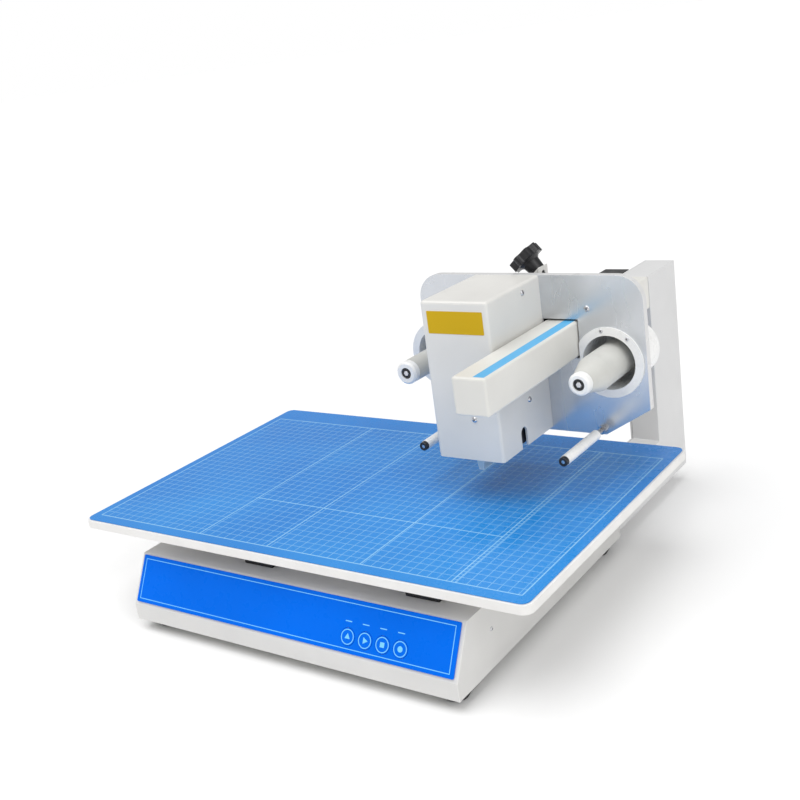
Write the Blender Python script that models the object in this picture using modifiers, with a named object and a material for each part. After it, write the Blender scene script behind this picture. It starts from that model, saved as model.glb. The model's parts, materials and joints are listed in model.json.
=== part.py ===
"""Desktop hot foil stamper: sliding table on a base, C-frame with an arm, and a head that rides on the arm.

Lengths are written in millimetres and turned into metres by MM. +Z is up, the operator stands at -Y, and the
origin is on the ground under the middle of the machine.
"""

import math

import bmesh
import bpy
from mathutils import Matrix, Vector

MM = 0.001
GAP = 0.3
WELD = 0.00001

# Base
FOOT_H = 12
FOOT_R = 14
FOOT_X = 180
FOOT_Y = (-240, 50)
BASE_HALF_W = 200
BASE_FRONT = -265
BASE_REAR = 69
BASE_BOTTOM = 12
BASE_KNEE = 30
BASE_TOP = 77
BASE_TOP_FRONT = -239
SHEET = 2

# Front panel and its keys
PANEL_HALF_W = 196
PANEL_T = 1.5
PANEL_LOW = 3.4
KEY_COUNT = 4
KEY_FIRST_X = 80
KEY_PITCH = 19.5
KEY_R = 8
KEY_UP = 18
KEY_T = 1.2

# Power entry on the base's rear wall
POWER_X = (-150, -80)
POWER_Z = (30, 60)
ENTRY_DEPTH = 24
ENTRY_LIP = 3
SOCKET_X = (-146, -116)
SOCKET_Z = (34, 56)
SOCKET_DEPTH = 16
WINDOW_X = (-106, -86)
WINDOW_Z = (33, 57)
WINDOW_DEPTH = 14
ROCKER_X = (-104.5, -87.5)
ROCKER_Z = (35.8, 54.2)
ROCKER_TILT = 7

# Electrics inside the base
SUPPLY_X = (-130, -30)
SUPPLY_Y = (-70, 36)
SUPPLY_Z = (BASE_BOTTOM + SHEET + GAP, 60)
CIRCUIT_X = (-20, 130)
CIRCUIT_Y = (-120, -10)
CIRCUIT_Z = (20, 24)
STANDOFF_R = 3
STANDOFF_INSET = 6

# Table and its slide
TABLE_X = 270
TABLE_Y = (-252, 98)
TABLE_Z = (102, 110.9)
MAT_X = 267.5
MAT_Y = (-250, 96)
MAT_Z = (111.2, 112)
CORNER_R = 10
BED_X = (-54, 142)
BED_W = 36
BED_Y = (-220, 50)
RAIL_Y = (-180, 20)
RAIL_HALF_L = 195
RAIL_W = 12
BLOCK_HALF_L = 67
BELT_Y = -80
PULLEY_X = 170
PULLEY_R = 8
BELT_T = 1.5
BELT_Z = (86, 94)

# C-frame and arm
FRAME_X = (165, 200)
FRAME_REAR = 265
COLUMN_FRONT = 190
FRAME_BOTTOM = 20
ARM_Z = (234, 270)
ARM_FRONT = -165
SCREW_X = 182.5
SCREW_Z = 252
TRAY_X = (131, 160.5)
TRAY_Y = (114, 230)
TRAY_Z = (262, 268)
NUT_WAY_Y = (-105, 155)

# Head
PLATE_X = (21, 270)
PLATE_Z = (154.5, 316)
PLATE_Y = (12, 20)
PLATE_R = 26
PLATE_T = 2.5
REEL_X = (39, 231.5)
REEL_Z = 230
CAP_R = (12, 11)
CAP_HOLE_R = 5.9
CAP_BASE = 61
CAP_END = 69
CUP_IN_R = 27.3
CUP_OUT_R = 28.8
CUP_FLANGE_R = 35.5
ROLLER_X = (62, 218.4)
ROLLER_Z = 160
ROLLER_R = 5
COVER_X = (90, 163.4)
COVER_Y = (-90, 11.7)
COVER_Z = (158, 316)
LIFT_X = 126.5
LIFT_Y = -49
ROD_OFFSET = 18.5
MOUNT_X = (97, 156)
SHELF_Z = (272, 276)
SCREW_LOW = 166
CARRIAGE_Z = (195, 213)
SINK_Z = (168, 194.7)
THERMAL_Z = (141, 163.5)
KNOB_AT = (149, 38.5, 313.7)
KNOB_LEAN = 42.5
KNOB_LENGTH = 22.8
KNOB_T = 9.4
KNOB_R = 16.4
KNOB_LOBE = 1.4
KNOB_HUB_R = (8, 9.5)
BRACKET_Y = (28.5, 48.5)
BRACKET_LOW = 288
BRACKET_FOOT_TOP = 302

SIDES = ("left", "right")


def clear_scene():
    for obj in list(bpy.data.objects):
        bpy.data.objects.remove(obj)


def new_collection(name):
    collection = bpy.data.collections.new(name)
    bpy.context.scene.collection.children.link(collection)
    return collection


clear_scene()
PARTS = new_collection("hot_foil_stamper")
CUTTERS = new_collection("cutters")


# ---------------------------------------------------------------- materials

def material(name, color, roughness, metallic=0.0):
    mat = bpy.data.materials.new(name)
    mat.use_nodes = True
    shader = mat.node_tree.nodes["Principled BSDF"]
    shader.inputs["Base Color"].default_value = (*color, 1)
    shader.inputs["Roughness"].default_value = roughness
    shader.inputs["Metallic"].default_value = metallic
    return mat


WHITE_PAINT = material("white_paint", (0.80, 0.80, 0.79), 0.35)
BEIGE_PAINT = material("beige_paint", (0.80, 0.78, 0.72), 0.4)
PLATE_PAINT = material("plate_paint", (0.74, 0.76, 0.79), 0.25)
BLUE_PANEL = material("blue_panel", (0.0, 0.16, 0.72), 0.3)
BLUE_MAT = material("blue_mat", (0.02, 0.22, 0.72), 0.25)
BOARD_EDGE = material("board_edge", (0.82, 0.79, 0.76), 0.5)
BLACK_PLASTIC = material("black_plastic", (0.02, 0.02, 0.02), 0.4)
WHITE_PLASTIC = material("white_plastic", (0.85, 0.85, 0.85), 0.35)
GREY_PLASTIC = material("grey_plastic", (0.45, 0.45, 0.46), 0.4)
RUBBER = material("rubber", (0.03, 0.03, 0.03), 0.8)
STEEL = material("steel", (0.6, 0.6, 0.62), 0.3, 1.0)
ALUMINIUM = material("aluminium", (0.65, 0.65, 0.67), 0.35, 1.0)
BRASS = material("brass", (0.7, 0.5, 0.2), 0.35, 1.0)
BLACK_METAL = material("black_metal", (0.03, 0.03, 0.035), 0.45, 0.6)
BOARD_GREEN = material("board_green", (0.02, 0.2, 0.08), 0.5)
CERAMIC = material("ceramic", (0.75, 0.82, 0.86), 0.3)


# ---------------------------------------------------------------- shape helpers

def link(name, mesh, mat, at=(0, 0, 0), collection=PARTS):
    obj = bpy.data.objects.new(name, mesh)
    obj.location = Vector(at) * MM
    if mat:
        mesh.materials.append(mat)
    collection.objects.link(obj)
    return obj


def as_cutter(obj):
    PARTS.objects.unlink(obj)
    CUTTERS.objects.link(obj)
    obj.hide_render = True
    obj.display_type = "WIRE"
    return obj


def bevel(obj, width, segments=2):
    mod = obj.modifiers.new("bevel", "BEVEL")
    mod.width = width * MM
    mod.segments = segments
    mod.limit_method = "ANGLE"
    return obj


def box(name, x, y, z, mat=None, round_by=0.0, segments=2):
    """A block between two limits on each axis, with its origin at its middle."""
    low = Vector((x[0], y[0], z[0]))
    high = Vector((x[1], y[1], z[1]))
    mesh = bpy.data.meshes.new(name)
    bm = bmesh.new()
    bmesh.ops.create_cube(bm, size=1)
    bmesh.ops.scale(bm, vec=(high - low) * MM, verts=bm.verts)
    bm.to_mesh(mesh)
    bm.free()
    obj = link(name, mesh, mat, (low + high) / 2)
    if round_by:
        bevel(obj, round_by, segments)
    return obj


def rod(name, radius, start, end, mat=None, sides=24, end_radius=None):
    """A round bar from start to end, with its origin at start."""
    start = Vector(start)
    along = Vector(end) - start
    mesh = bpy.data.meshes.new(name)
    bm = bmesh.new()
    bmesh.ops.create_cone(
        bm, cap_ends=True, segments=sides, radius1=radius * MM,
        radius2=(radius if end_radius is None else end_radius) * MM, depth=along.length * MM)
    bmesh.ops.translate(bm, vec=(0, 0, along.length * MM / 2), verts=bm.verts)
    bmesh.ops.rotate(bm, matrix=along.to_track_quat("Z", "Y").to_matrix(), verts=bm.verts)
    bm.to_mesh(mesh)
    bm.free()
    mesh.shade_smooth()
    mesh.set_sharp_from_angle(angle=math.radians(40))
    return link(name, mesh, mat, start)


def turned(name, profile, at, mat, facing="-Y", steps=48):
    """A turned piece. profile lists (radius, distance along the axis), far end first, down the outer side."""
    mesh = bpy.data.meshes.new(name)
    closed = profile[0][0] > 0 and profile[-1][0] > 0
    edges = [(i, i + 1) for i in range(len(profile) - 1)]
    if closed:
        edges.append((len(profile) - 1, 0))
    mesh.from_pydata([(r * MM, 0, h * MM) for r, h in profile], edges, [])
    obj = link(name, mesh, mat, at)
    mod = obj.modifiers.new("turn", "SCREW")
    mod.steps = steps
    mod.render_steps = steps
    mod.use_merge_vertices = True
    mod.merge_threshold = WELD
    mod.use_smooth_shade = True
    obj.rotation_euler = {"-Y": (math.radians(90), 0, 0), "+Z": (0, 0, 0)}[facing]
    return obj


PLANES = {
    "YZ": Matrix(((0, 0, 1), (1, 0, 0), (0, 1, 0))),
    "XZ": Matrix(((1, 0, 0), (0, 0, -1), (0, 1, 0))),
    "XY": Matrix.Identity(3),
}


def extruded(name, outline, plane, limits, mat=None, origin=(0, 0)):
    """A flat outline in one of the world planes, thickened between two limits on the third axis."""
    curve = bpy.data.curves.new(name, "CURVE")
    curve.dimensions = "2D"
    curve.fill_mode = "BOTH"
    curve.extrude = (limits[1] - limits[0]) / 2 * MM
    spline = curve.splines.new("POLY")
    spline.points.add(len(outline) - 1)
    for point, (a, b) in zip(spline.points, outline):
        point.co = ((a - origin[0]) * MM, (b - origin[1]) * MM, 0, 1)
    spline.use_cyclic_u = True
    turn = PLANES[plane]
    guide = bpy.data.objects.new(name + "_outline", curve)
    CUTTERS.objects.link(guide)
    bpy.context.view_layer.update()
    mesh = bpy.data.meshes.new_from_object(guide.evaluated_get(bpy.context.evaluated_depsgraph_get()))
    bpy.data.objects.remove(guide)
    mesh.name = name
    mesh.materials.clear()
    bm = bmesh.new()
    bm.from_mesh(mesh)
    bmesh.ops.remove_doubles(bm, verts=bm.verts, dist=WELD)
    bmesh.ops.rotate(bm, matrix=turn, verts=bm.verts)
    bmesh.ops.recalc_face_normals(bm, faces=bm.faces)
    bm.to_mesh(mesh)
    bm.free()
    side = -1 if plane == "XZ" else 1
    middle = side * (limits[0] + limits[1]) / 2
    return link(name, mesh, mat, turn @ Vector((origin[0], origin[1], middle)))


def arc(centre, radius, start, end, steps=6):
    """Points along an arc, in degrees, both ends included."""
    for i in range(steps + 1):
        angle = math.radians(start + (end - start) * i / steps)
        yield centre[0] + radius * math.cos(angle), centre[1] + radius * math.sin(angle)


def round_rect(x, y, r, steps=6):
    """A rectangle with rounded corners, counter-clockwise."""
    left, right = x[0] + r, x[1] - r
    low, high = y[0] + r, y[1] - r
    corners = ((right, low, -90), (right, high, 0), (left, high, 90), (left, low, 180))
    return [point for cx, cy, turn in corners for point in arc((cx, cy), r, turn, turn + 90, steps)]


def combine(target, other, operation):
    as_cutter(other)
    mod = target.modifiers.new(operation.lower(), "BOOLEAN")
    mod.operation = operation
    mod.solver = "EXACT"
    mod.object = other
    return target


def cut(target, *cutters):
    for cutter in cutters:
        combine(target, cutter, "DIFFERENCE")
    return target


def join(target, *pieces):
    for piece in pieces:
        combine(target, piece, "UNION")
    return target


def hole(name, radius, start, end, sides=32):
    return rod(name + "_cutter", radius, start, end, sides=sides)


def slot(name, x, y, z):
    return box(name + "_cutter", x, y, z)


# ---------------------------------------------------------------- base

def base_profile(inset):
    """The side view of the base box, moved in by the sheet thickness when inset is set; open below."""
    low = BASE_BOTTOM - (5 if inset else 0)
    return [
        (BASE_FRONT + inset, low),
        (BASE_REAR - inset, low),
        (BASE_REAR - inset, BASE_TOP - inset),
        (BASE_TOP_FRONT + inset * 0.6, BASE_TOP - inset),
        (BASE_FRONT + inset, BASE_KNEE + inset * 0.3),
    ]


def make_base():
    shell = extruded("base_shell", base_profile(0), "YZ", (-BASE_HALF_W, BASE_HALF_W), WHITE_PAINT)
    inside = BASE_HALF_W - SHEET
    hollow = extruded("base_hollow", base_profile(SHEET), "YZ", (-inside, inside))
    power = slot("power", POWER_X, (BASE_REAR - 5, BASE_REAR + 5), POWER_Z)
    shaft = hole("shaft", 12, (-PULLEY_X, BELT_Y, BASE_TOP - 6), (-PULLEY_X, BELT_Y, BASE_TOP + 6))
    cut(shell, hollow, power, shaft)

    edge = SHEET + GAP
    box("base_bottom", (-BASE_HALF_W + edge, BASE_HALF_W - edge), (BASE_FRONT + edge, BASE_REAR - edge),
        (BASE_BOTTOM, BASE_BOTTOM + SHEET), GREY_PLASTIC)

    for end, y in zip(("front", "rear"), FOOT_Y):
        for side, sign in zip(SIDES, (-1, 1)):
            profile = [(0, FOOT_H - GAP), (FOOT_R, FOOT_H - GAP), (FOOT_R, 5), (FOOT_R - 3, 0), (0, 0)]
            turned(f"foot_{end}_{side}", profile, (sign * FOOT_X, y, 0), RUBBER, "+Z", 32)


def slope_axes():
    """The front slope's foot, its direction up the slope, and its outward normal."""
    foot = Vector((0, BASE_FRONT, BASE_KNEE))
    up = (Vector((0, BASE_TOP_FRONT, BASE_TOP)) - foot).normalized()
    return foot, up, Vector((1, 0, 0)).cross(up)


def on_slope(obj, x, up_by, out_by):
    foot, up, normal = slope_axes()
    obj.matrix_world = Matrix.Translation((foot + Vector((x, 0, 0)) + up * up_by + normal * out_by) * MM) \
        @ Matrix((Vector((1, 0, 0)), up, normal)).transposed().to_4x4()


def make_front_panel():
    slope_length = math.hypot(BASE_TOP_FRONT - BASE_FRONT, BASE_TOP - BASE_KNEE)
    outline = round_rect((-PANEL_HALF_W, PANEL_HALF_W), (PANEL_LOW, slope_length - 1.5), 1.5, 3)
    panel = extruded("control_panel", outline, "XY", (0, PANEL_T), BLUE_PANEL)
    on_slope(panel, 0, 0, GAP + PANEL_T / 2)
    for i in range(KEY_COUNT):
        x = KEY_FIRST_X + KEY_PITCH * i
        opening = hole(f"key_{i}", KEY_R + GAP, (0, 0, -5), (0, 0, 5))
        on_slope(opening, x, KEY_UP, 0)
        cut(panel, opening)
        key = rod(f"key_{i + 1}", KEY_R, (0, 0, 0), (0, 0, KEY_T), BLUE_PANEL, 32)
        on_slope(key, x, KEY_UP, GAP + PANEL_T - KEY_T + 0.2)


def make_electrics():
    box("power_supply", SUPPLY_X, SUPPLY_Y, SUPPLY_Z, ALUMINIUM, 1)
    board = box("control_board", CIRCUIT_X, CIRCUIT_Y, CIRCUIT_Z, BOARD_GREEN)
    corners = [(x, y) for x in (CIRCUIT_X[0] + STANDOFF_INSET, CIRCUIT_X[1] - STANDOFF_INSET)
               for y in (CIRCUIT_Y[0] + STANDOFF_INSET, CIRCUIT_Y[1] - STANDOFF_INSET)]
    join(board, *[rod(f"standoff_{i}", STANDOFF_R, (x, y, SUPPLY_Z[0]), (x, y, CIRCUIT_Z[0] + 1), sides=12)
                  for i, (x, y) in enumerate(corners)])

    outside = BASE_REAR + 2 * ENTRY_LIP
    entry = box("power_entry", (POWER_X[0] + GAP, POWER_X[1] - GAP), (BASE_REAR - ENTRY_DEPTH, BASE_REAR + 1),
                (POWER_Z[0] + GAP, POWER_Z[1] - GAP), BLACK_PLASTIC)
    flange = box("entry_flange", (POWER_X[0] - ENTRY_LIP - 1, POWER_X[1] + ENTRY_LIP + 1),
                 (BASE_REAR + GAP, BASE_REAR + ENTRY_LIP), (POWER_Z[0] - ENTRY_LIP, POWER_Z[1] + ENTRY_LIP))
    join(entry, flange)
    socket = slot("socket", SOCKET_X, (BASE_REAR - SOCKET_DEPTH, outside), SOCKET_Z)
    window = slot("window", WINDOW_X, (BASE_REAR - WINDOW_DEPTH, outside), WINDOW_Z)
    cut(entry, socket, window)

    rocker = box("power_rocker", ROCKER_X, (BASE_REAR - 8, BASE_REAR + 2), ROCKER_Z, BLACK_PLASTIC, 1)
    rocker.rotation_euler = (math.radians(ROCKER_TILT), 0, 0)


# ---------------------------------------------------------------- table

def make_table():
    outline = round_rect((-TABLE_X, TABLE_X), TABLE_Y, CORNER_R)
    board = extruded("table_board", outline, "XY", TABLE_Z, BOARD_EDGE)
    bevel(board, 1)
    extruded("table_mat", round_rect((-MAT_X, MAT_X), MAT_Y, CORNER_R - 2), "XY", MAT_Z, BLUE_MAT)


def make_slide():
    bed_top = BASE_TOP + 4
    for side, x in zip(SIDES, BED_X):
        box(f"rail_bed_{side}", (x - BED_W / 2, x + BED_W / 2), BED_Y, (BASE_TOP + GAP, bed_top), BLACK_METAL)
    for end, y in zip(("front", "rear"), RAIL_Y):
        rail_z = (bed_top + GAP, bed_top + 7)
        box(f"table_rail_{end}", (-RAIL_HALF_L, RAIL_HALF_L), (y - RAIL_W / 2, y + RAIL_W / 2), rail_z,
            STEEL, 1, 1)
        block = box(f"rail_block_{end}", (-BLOCK_HALF_L, BLOCK_HALF_L), (y - 16, y + 16),
                    (bed_top + 2, TABLE_Z[0] - GAP), ALUMINIUM, 1)
        half = RAIL_W / 2 + 0.4
        cut(block, slot("groove", (-TABLE_X, TABLE_X), (y - half, y + half), (bed_top, rail_z[1] + 0.4)))


def make_belt_drive():
    belt = belt_loop("table_belt", PULLEY_R + GAP + BELT_T, BELT_Z)
    belt.data.materials.append(BLACK_PLASTIC)
    cut(belt, belt_loop("belt_inside_cutter", PULLEY_R + GAP, (BELT_Z[0] - 2, BELT_Z[1] + 2)))

    motor = box("table_motor", (-PULLEY_X - 21, -PULLEY_X + 21), (BELT_Y - 21, BELT_Y + 21), (36, 74.6),
                BLACK_METAL, 2)
    cut(motor, hole("table_motor", 3.2, (-PULLEY_X, BELT_Y, 50), (-PULLEY_X, BELT_Y, 80)))

    flange_r = PULLEY_R + 3
    low_flange = [(PULLEY_R, 85.4), (flange_r, 85), (flange_r, 83.6)]
    pulley = [(0, 97), (flange_r, 97), (flange_r, 95), (PULLEY_R, 94.6), *low_flange]
    low = BASE_TOP - 22
    turned("drive_pulley", [(r, z - 60) for r, z in pulley + [(2.5, 83.6), (2.5, low), (0, low)]],
           (-PULLEY_X, BELT_Y, 60), ALUMINIUM, "+Z", 32)
    idler = pulley[1:] + [(3.2, 83.6), (3.2, 97)]
    turned("idler_pulley", [(r, z - 60) for r, z in idler], (PULLEY_X, BELT_Y, 60), ALUMINIUM, "+Z", 32)
    seat = BASE_TOP + GAP
    post = [(0, 100), (6, 100), (6, 97.4), (3, 97.4), (3, 83.2), (7, 83.2), (7, seat), (0, seat)]
    turned("idler_post", [(r, z - BASE_TOP) for r, z in post], (PULLEY_X, BELT_Y, BASE_TOP), STEEL, "+Z", 32)

    run = BELT_Y - PULLEY_R - GAP - BELT_T / 2
    clamp = box("belt_clamp", (-14, 14), (run - 7, run + 5), (84, TABLE_Z[0] - GAP), ALUMINIUM, 0.8)
    cut(clamp, slot("belt_way", (-20, 20), (run - 1.2, run + 1.2), (80, BELT_Z[1] + 1)))


def belt_loop(name, radius, limits):
    """A loop with straight runs between the two pulleys and half circles round them."""
    right = arc((PULLEY_X, BELT_Y), radius, -90, 90, 12)
    left = arc((-PULLEY_X, BELT_Y), radius, 90, 270, 12)
    return extruded(name, [*right, *left], "XY", limits)


# ---------------------------------------------------------------- C-frame and arm

def frame_profile(inset):
    """The side view of the foot beam and the column above its rear end."""
    return [
        (BASE_REAR + GAP + inset, FRAME_BOTTOM + inset),
        (FRAME_REAR - inset, FRAME_BOTTOM + inset),
        (FRAME_REAR - inset, ARM_Z[1] - inset),
        (COLUMN_FRONT + inset, ARM_Z[1] - inset),
        (COLUMN_FRONT + inset, BASE_TOP - inset),
        (BASE_REAR + GAP + inset, BASE_TOP - inset),
    ]


def make_frame():
    shell = extruded("frame_column", frame_profile(0), "YZ", (FRAME_X[0] + SHEET + GAP, FRAME_X[1]),
                     WHITE_PAINT)
    hollow = extruded("frame_hollow", frame_profile(SHEET), "YZ", (FRAME_X[0], FRAME_X[1] - SHEET))
    screw_way = hole("screw_way", 7, (SCREW_X, COLUMN_FRONT - 5, SCREW_Z),
                     (SCREW_X, COLUMN_FRONT + 5, SCREW_Z))
    cut(shell, hollow, screw_way)
    extruded("frame_cover", frame_profile(0), "YZ", (FRAME_X[0], FRAME_X[0] + SHEET), WHITE_PAINT)

    arm = box("arm_beam", FRAME_X, (ARM_FRONT, COLUMN_FRONT - GAP), ARM_Z, BEIGE_PAINT, 2.5, 3)
    wall = SHEET + 0.5
    inside = slot("arm_inside", (FRAME_X[0] + wall, FRAME_X[1] - wall), (ARM_FRONT + wall, COLUMN_FRONT + 5),
                  (ARM_Z[0] + wall, ARM_Z[1] - wall))
    way = slot("nut_way", (SCREW_X - 6, SCREW_X + 6), NUT_WAY_Y, (ARM_Z[0] - 5, ARM_Z[0] + 5))
    cut(arm, inside, way)

    motor_y = (COLUMN_FRONT + SHEET + 1, COLUMN_FRONT + 45)
    motor = box("arm_motor", (SCREW_X - 14, SCREW_X + 14), motor_y, (SCREW_Z - 14, SCREW_Z + 14),
                BLACK_METAL, 1.5)
    start, stop = motor_y[0] - 5, motor_y[0] + 20
    cut(motor, hole("arm_motor", 3.2, (SCREW_X, start, SCREW_Z), (SCREW_X, stop, SCREW_Z)))
    screw = [(0, 155), (4, 155), (4, -186), (2.5, -186), (2.5, -205), (0, -205)]
    turned("arm_screw", screw, (SCREW_X, 0, SCREW_Z), STEEL, "-Y", 24)
    tray = box("cable_tray", TRAY_X, TRAY_Y, TRAY_Z, BLACK_PLASTIC, 1)
    foot_z = (TRAY_Z[0] - 14, TRAY_Z[1] - 1)
    join(tray, box("tray_foot", (TRAY_X[1] - 6, FRAME_X[0] - GAP), (COLUMN_FRONT + 5, TRAY_Y[1] - 3), foot_z))


# ---------------------------------------------------------------- head

def plate_outline(inset):
    left, right = PLATE_X[0] + inset, PLATE_X[1] - inset
    low, high = PLATE_Z[0] + inset, PLATE_Z[1] - inset
    r = PLATE_R - inset
    return [
        (56 + inset * 0.4, low),
        (222 - inset * 0.4, low),
        (right, 184 + inset * 0.4),
        *arc((right - r, high - r), r, 0, 90, 10),
        *arc((left + r, high - r), r, 90, 180, 10),
        (left, 187 + inset * 0.4),
    ]


def make_head_plate():
    plate = extruded("head_plate", plate_outline(0), "XZ", PLATE_Y, PLATE_PAINT)
    pocket = extruded("plate_pocket", plate_outline(PLATE_T), "XZ", (PLATE_Y[0] + PLATE_T, PLATE_Y[1] + 5))
    arm_slot = slot("arm_slot", (163.3, 201.4), (0, 30), (ARM_Z[0] - 1.5, ARM_Z[1] + 2))
    reels = [hole(f"reel_{side}", CUP_OUT_R + GAP, (x, 0, REEL_Z), (x, 30, REEL_Z), 48)
             for side, x in zip(SIDES, REEL_X)]
    cut(plate, arm_slot, *reels, pocket)


def make_carriage():
    sleeve = box("head_carriage", (FRAME_X[0] - 4, FRAME_X[1] + 2.3), (PLATE_Y[0] + PLATE_T + GAP, 75),
                 (ARM_Z[0] - 5, ARM_Z[1] + 4), BLACK_METAL)
    way = slot("sleeve", (FRAME_X[0] - 0.4, FRAME_X[1] + 0.4), (0, 90), (ARM_Z[0] - 0.4, ARM_Z[1] + 0.4))
    cut(sleeve, way)
    nut = box("arm_nut", (SCREW_X - 10, SCREW_X + 10), (35, 55), (243, 262), BRASS)
    neck = box("nut_neck", (SCREW_X - 5, SCREW_X + 5), (37, 53), (ARM_Z[0], 245))
    join(nut, neck)
    cut(nut, hole("nut", 4.4, (SCREW_X, 0, SCREW_Z), (SCREW_X, 90, SCREW_Z)))


def make_cover():
    cover = box("head_cover", COVER_X, (COVER_Y[0], COVER_Y[1] + 20), (COVER_Z[0] - 20, COVER_Z[1]),
                WHITE_PAINT, 3, 3)
    wall = 2.5
    inside = slot("cover_inside", (COVER_X[0] + wall, COVER_X[1] - wall),
                  (COVER_Y[0] + wall, COVER_Y[1] + 30), (COVER_Z[0] - 30, COVER_Z[1] - wall))
    rear = slot("cover_rear", (0, 300), (COVER_Y[1], COVER_Y[1] + 60), (100, 400))
    below = slot("cover_below", (0, 300), (-200, 100), (100, COVER_Z[0]))
    notch = slot("cover_notch", (COVER_X[0] + 20, COVER_X[1] + 10), (-53, -41), (100, 173))
    notch_top = hole("cover_notch_top", 6, (COVER_X[0] + 20, -47, 173), (COVER_X[1] + 10, -47, 173), 24)
    cut(cover, inside, rear, below, notch, notch_top)


def make_reels():
    cup = [(CUP_FLANGE_R, 2.3), (CUP_FLANGE_R, 0.3), (CUP_OUT_R, 0.3), (CUP_OUT_R, -54),
           (5.8, -54), (5.8, -51.5), (CUP_IN_R, -51.5), (CUP_IN_R, 2.3)]
    for name, x in zip(("takeup", "supply"), REEL_X):
        ring = turned(f"{name}_cup", cup, (x, PLATE_Y[0], REEL_Z), WHITE_PLASTIC)
        if name == "supply":
            cut(ring, slot("flange_flat", (190, FRAME_X[1] + 1.4), (0, PLATE_Y[0]), (180, 280)))

    at = (REEL_X[0], PLATE_Y[0], REEL_Z)
    nose = [(0, CAP_BASE + 5), (5, CAP_BASE + 5), (5, CAP_BASE - GAP)]
    drum = [(12, CAP_BASE - GAP), (12, -46), (5, -46), (5, -86), (0, -86)]
    turned("takeup_spindle", nose + drum, at, GREY_PLASTIC)
    at = (REEL_X[1], PLATE_Y[0], REEL_Z)
    drum = [(11, CAP_BASE - GAP), (18, 36), (18, -46), (5, -46), (5, -66), (0, -66)]
    turned("supply_spindle", nose + drum, at, GREY_PLASTIC)
    for name, x, r in zip(("takeup", "supply"), REEL_X, CAP_R):
        cap = [(CAP_HOLE_R, CAP_END), (r - 2, CAP_END), (r, CAP_END - 2), (r, CAP_BASE), (5.4, CAP_BASE),
               (5.4, CAP_BASE + 3), (CAP_HOLE_R, CAP_BASE + 3)]
        turned(f"{name}_cap", cap, (x, PLATE_Y[0], REEL_Z), WHITE_PLASTIC, steps=32)

    rear = PLATE_Y[0] + 54 + GAP
    motor = rod("takeup_motor", 17, (REEL_X[0], rear, REEL_Z), (REEL_X[0], rear + 40, REEL_Z),
                BLACK_METAL, 32)
    cut(motor, hole("takeup_motor", 5.8, (REEL_X[0], rear - 5, REEL_Z), (REEL_X[0], rear + 34, REEL_Z)))


def make_rollers():
    front = PLATE_Y[0] - GAP
    shaft = [(0, 88), (3.8, 88), (3.8, 84.6), (2.5, 84.6), (2.5, 4), (4.5, 4), (4.5, 0), (0, 0)]
    roller = [(ROLLER_R, 84.2), (ROLLER_R, 16), (2.8, 16), (2.8, 84.2)]
    for side, x in zip(SIDES, ROLLER_X):
        turned(f"roller_shaft_{side}", shaft, (x, front, ROLLER_Z), STEEL, steps=24)
        turned(f"roller_{side}", roller, (x, front, ROLLER_Z), WHITE_PLASTIC, steps=24)


def make_print_head():
    face = PLATE_Y[0] - GAP
    mount = box("lift_mount", MOUNT_X, (-76, face), SHELF_Z, ALUMINIUM)
    back = box("mount_back", MOUNT_X, (face - 4, face), (175, SHELF_Z[1]))
    join(mount, back)
    cut(mount, hole("mount", 8, (LIFT_X, LIFT_Y, 260), (LIFT_X, LIFT_Y, 290)))
    motor = box("lift_motor", (LIFT_X - 21, LIFT_X + 21), (LIFT_Y - 21, LIFT_Y + 21), (SHELF_Z[1] + GAP, 310),
                BLACK_METAL, 2)
    cut(motor, hole("lift_motor", 3.2, (LIFT_X, LIFT_Y, 270), (LIFT_X, LIFT_Y, 296)))
    low = SCREW_LOW
    profile = [(0, 292 - low), (2.5, 292 - low), (2.5, 270 - low), (3.5, 270 - low), (3.5, 0), (0, 0)]
    turned("lift_screw", profile, (LIFT_X, LIFT_Y, low), STEEL, "+Z", 24)
    for side, sign in zip(SIDES, (-1, 1)):
        x = LIFT_X + sign * ROD_OFFSET
        rod(f"guide_rod_{side}", 4, (x, LIFT_Y, low), (x, LIFT_Y, SHELF_Z[0] - GAP), STEEL)

    carriage = box("print_carriage", (98, 155), (LIFT_Y - 14, LIFT_Y + 14), CARRIAGE_Z, ALUMINIUM, 1)
    sink = box("heat_sink", (100, 153), (-78, -6), SINK_Z, ALUMINIUM, 0.6, 1)
    for piece in (carriage, sink):
        cut(piece, hole("screw", 4.2, (LIFT_X, LIFT_Y, 150), (LIFT_X, LIFT_Y, 230), 24))
        for sign in (-1, 1):
            x = LIFT_X + sign * ROD_OFFSET
            cut(piece, hole("guide", 4.5, (x, LIFT_Y, 150), (x, LIFT_Y, 230), 24))
    low, high = THERMAL_Z
    outline = [(LIFT_X - 6, high), (LIFT_X - 2.5, low), (LIFT_X + 2.5, low), (LIFT_X + 6, high)]
    extruded("thermal_head", outline, "XZ", (-74, -10), CERAMIC)


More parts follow.
